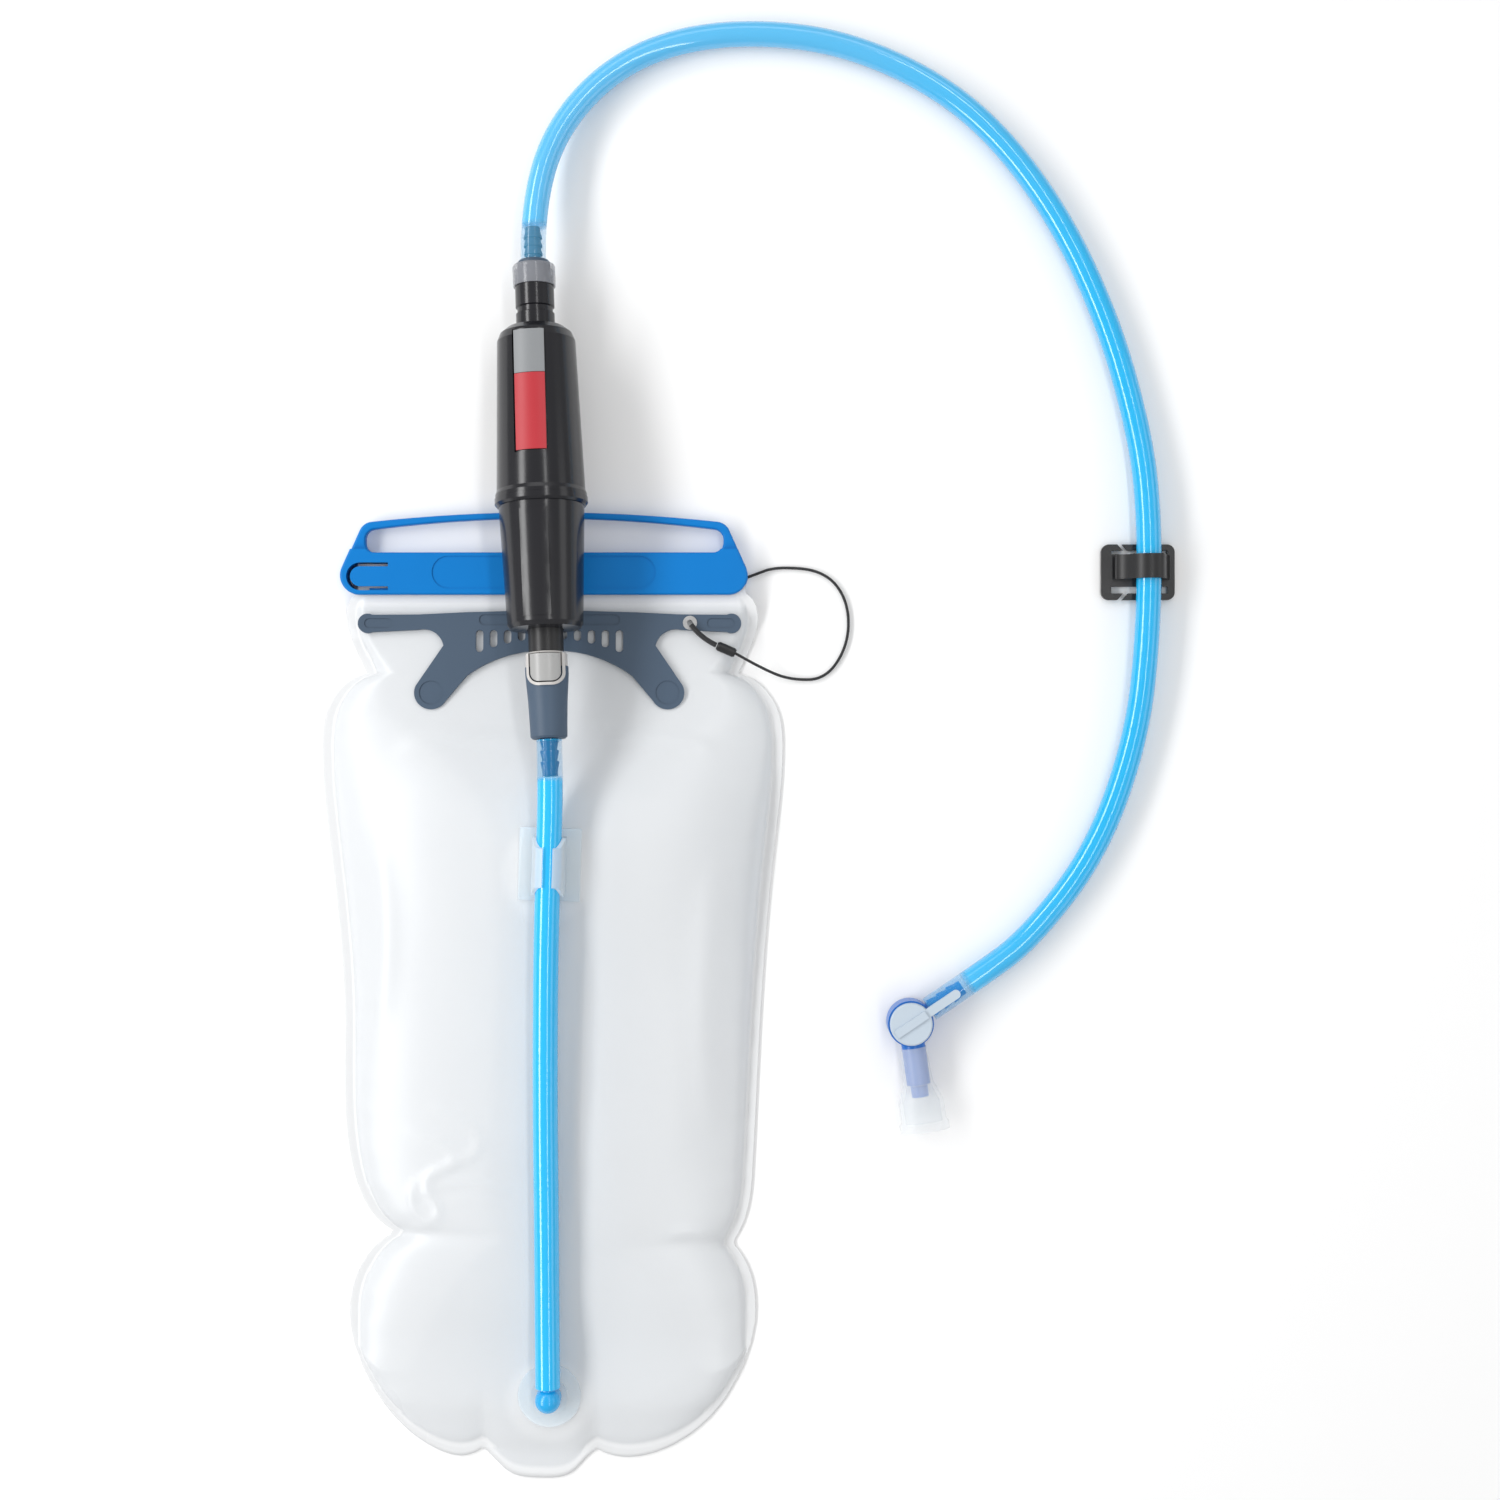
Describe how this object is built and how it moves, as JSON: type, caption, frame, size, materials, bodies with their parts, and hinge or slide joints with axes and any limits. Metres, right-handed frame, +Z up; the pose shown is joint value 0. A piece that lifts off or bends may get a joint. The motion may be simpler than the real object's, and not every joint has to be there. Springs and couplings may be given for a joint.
{
  "type": "hydration bladder",
  "caption": "Flat water reservoir with a slide-off closure, hanger yoke, quick-disconnect supply hose, in-line filter, drink hose with strap clip and a shut-off bite valve.",
  "frame": {"origin": "centre of the base, at the height of the surface that the bladder lies on", "axes": "+Y from the bag's foot to the filter's outlet, +X to the drink hose's side, +Z up off the back film"},
  "size_m": [0.353, 0.6024, 0.0453],
  "materials": {
    "film": "soft clear film with a light frost",
    "bar_blue": "satin",
    "slate": "soft matte",
    "cord_black": "braided",
    "steel": "plain",
    "port_blue": "satin",
    "hose_blue": "glossy, translucent",
    "keeper_clear": "clear, light frost",
    "pale_grey": "satin",
    "navy": "satin",
    "housing_black": "satin",
    "label_grey": "printed film",
    "label_red": "printed film",
    "filter_media": "matte",
    "seal_rubber": "matte",
    "clip_black": "satin",
    "valve_blue": "satin",
    "lever_pale": "satin",
    "silicone": "soft, translucent"
  },
  "bodies": {
    "bag": {"back_film": "film", "front_film": "film", "back_mouth_rail": "film", "front_mouth_rail": "film", "hanger_yoke": "slate", "tether_eyelet": "steel", "tether_lead": "cord_black", "tether_cord": "cord_black", "tether_loop": "cord_black", "tether_ferrule": "clip_black", "port_flange": "film", "port_elbow": "port_blue", "supply_hose": "hose_blue", "hose_keeper": "keeper_clear", "socket_body": "slate", "latch_frame": "pale_grey", "button_spring": "steel", "socket_barb": "navy", "poppet_spring": "steel"},
    "closure": {"slide_bar": "bar_blue"},
    "button": {"release_button": "pale_grey"},
    "poppet": {"valve_poppet": "navy"},
    "filter": {"lower_shell": "housing_black", "upper_shell": "housing_black", "label_grey": "label_grey", "label_red": "label_red", "inlet_plug": "housing_black", "outlet_adaptor": "housing_black", "clear_collar": "keeper_clear", "outlet_fitting": "pale_grey", "fibre_bundle": "filter_media", "potting_disc": "filter_media", "carbon_element": "clip_black", "housing_oring": "seal_rubber", "inlet_oring": "seal_rubber", "outlet_oring": "seal_rubber", "drink_hose": "hose_blue", "valve_body": "valve_blue", "mouthpiece": "silicone"},
    "clip": {"strap_clip": "clip_black"},
    "lever": {"shutoff_lever": "lever_pale"}
  },
  "joints": [
    {"name": "closure_slide", "type": "slide", "parent": "bag", "child": "closure", "axis": [-1, 0, 0], "range_m": [0, 0.15], "deforming": ["tether_lead"]},
    {"name": "button_press", "type": "slide", "parent": "bag", "child": "button", "axis": [0.0035, -0.0871, -0.9962], "range_m": [0, 0.0012], "stiffness_N_per_m": 400, "deforming": ["button_spring"]},
    {"name": "filter_unplug", "type": "slide", "parent": "bag", "child": "filter", "axis": [-0.04, 0.9954, -0.0872], "range_m": [0, 0.016]},
    {"name": "poppet_travel", "type": "slide", "parent": "bag", "child": "poppet", "axis": [-0.04, 0.9954, -0.0872], "range_m": [0, 0.0023], "deforming": ["poppet_spring"]},
    {"name": "clip_slide", "type": "slide", "parent": "filter", "child": "clip", "axis": [0, 1, 0], "range_m": [-0.008, 0.008]},
    {"name": "lever_turn", "type": "hinge", "parent": "filter", "child": "lever", "pos_m": [0.1477, -0.0679, 0.0149], "axis": [0, 0, 1], "range_deg": [0, 90]}
  ],
  "couplings": [
    {"joint": "poppet_travel", "follows": "filter_unplug", "ratio": 0.14}
  ]
}
